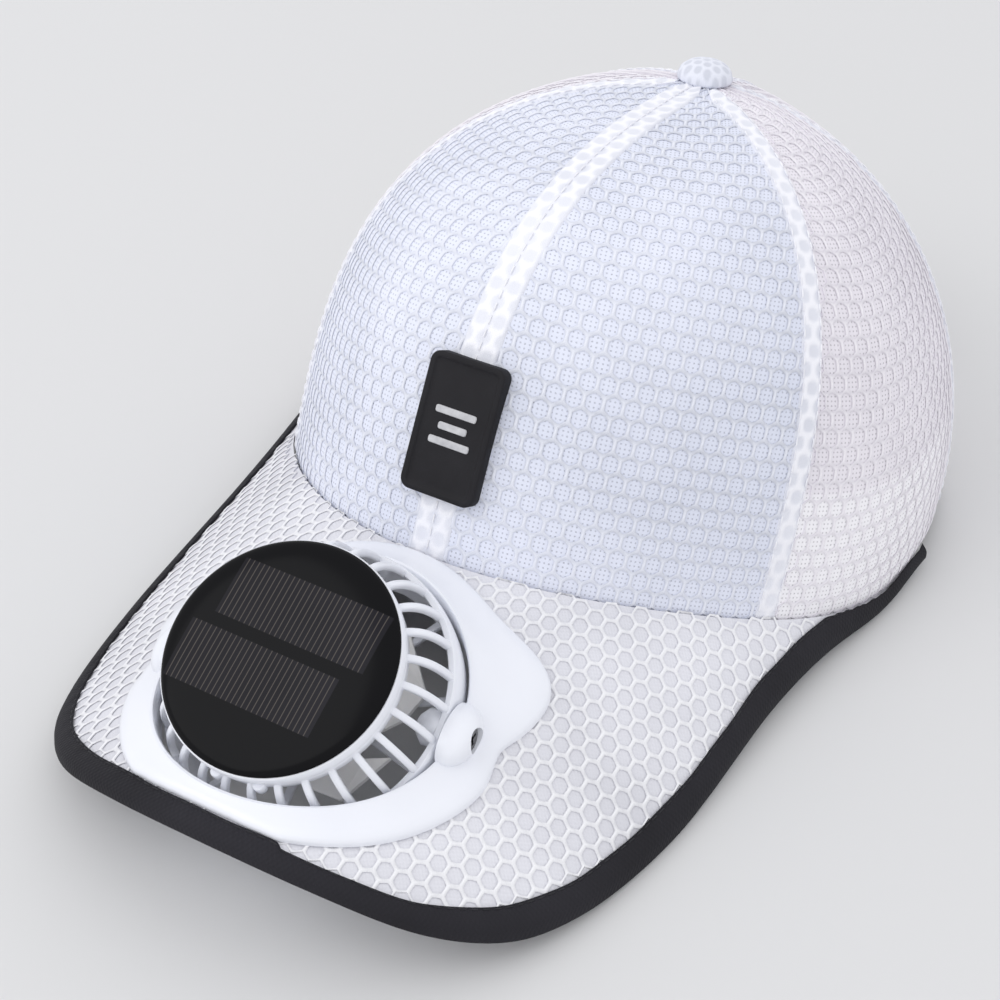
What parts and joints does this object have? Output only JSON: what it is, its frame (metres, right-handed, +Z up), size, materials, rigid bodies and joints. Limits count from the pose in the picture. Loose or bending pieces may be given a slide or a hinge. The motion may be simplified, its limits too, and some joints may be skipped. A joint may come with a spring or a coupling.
{
  "type": "cap with a solar fan in its brim",
  "caption": "Mesh cap with a long curved brim and a tilting solar-powered fan let into the brim; it shades and cools the wearer.",
  "frame": {"origin": "on the surface that the cap rests on, under the middle of its bounding box", "axes": "the wearer looks along -Y, +X is the wearer's left, +Z is up"},
  "size_m": [0.1698, 0.2754, 0.1002],
  "materials": {
    "crown_net": "open white honeycomb net",
    "inner_cloth": "matt white woven cloth",
    "brim_net": "white honeycomb net over cloth",
    "dark_tape": "charcoal ribbed tape",
    "dark_rubber": "satin black",
    "white_plastic": "semi-gloss moulded white",
    "impeller_plastic": "satin pale grey",
    "solar_cell": "glossy clear resin over dark cells",
    "screw_steel": "plain steel",
    "motor_steel": "plated can"
  },
  "bodies": {
    "cap": {"panel_front_left": "crown_net", "panel_front_right": "crown_net", "panel_side_left": "crown_net", "panel_side_right": "crown_net", "panel_back_left": "crown_net", "panel_back_right": "crown_net", "seam_tape_front": "inner_cloth", "seam_tape_side_left": "inner_cloth", "seam_tape_side_right": "inner_cloth", "seam_tape_back_left": "inner_cloth", "seam_tape_back_right": "inner_cloth", "seam_tape_rear": "inner_cloth", "top_button": "crown_net", "sweatband": "inner_cloth", "rear_arch_binding": "inner_cloth", "adjuster_strap": "inner_cloth", "brim": "brim_net", "brim_binding": "dark_tape", "front_patch": "dark_rubber", "fan_frame": "white_plastic", "pivot_screw_left": "screw_steel", "pivot_screw_right": "screw_steel"},
    "fan_head": {"fan_cage": "white_plastic", "solar_panel": "solar_cell", "fan_motor": "motor_steel"},
    "impeller": {"impeller": "impeller_plastic"}
  },
  "joints": [
    {"name": "fan_tilt", "type": "hinge", "parent": "cap", "child": "fan_head", "pos_m": [-0.0019, -0.09535, 0.02843], "axis": [0.9951, 0.0804, 0.0577], "range_deg": [-44, 4]},
    {"name": "impeller_spin", "type": "hinge", "parent": "fan_head", "child": "impeller", "pos_m": [-0.0019, -0.09535, 0.02843], "axis": [-0.0109, -0.491, 0.8711], "continuous": true}
  ]
}
